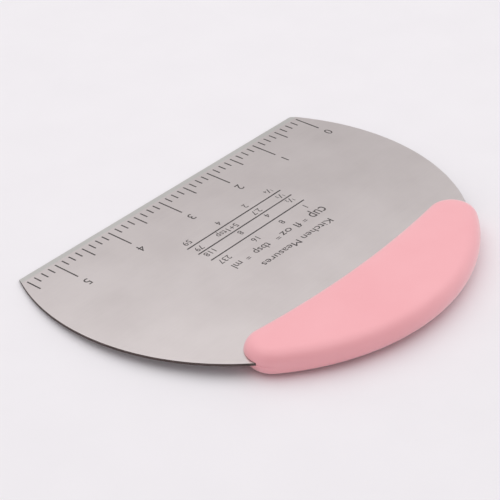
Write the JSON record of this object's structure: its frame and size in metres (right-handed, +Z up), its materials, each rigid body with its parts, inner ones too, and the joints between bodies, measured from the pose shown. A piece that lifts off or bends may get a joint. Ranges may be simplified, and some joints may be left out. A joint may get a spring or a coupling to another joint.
{
  "type": "bowl scraper",
  "caption": "Round steel bowl and dough scraper with a straight ruled edge, an engraved table of measures and a crescent moulded handle clamped over its curved back.",
  "frame": {"origin": "middle of the object's footprint, on the table that it lies on", "axes": "+X along the ruled edge towards its zero mark, +Y from the handle towards the ruled edge, +Z up from the table"},
  "size_m": [0.1588, 0.1204, 0.0112],
  "materials": {
    "blade_steel": "satin, fine brushed stainless sheet",
    "handle_plastic": "satin moulded plastic in light pink"
  },
  "bodies": {
    "root": {"blade": "blade_steel", "upper_handle_shell": "handle_plastic", "lower_handle_shell": "handle_plastic"}
  },
  "joints": []
}
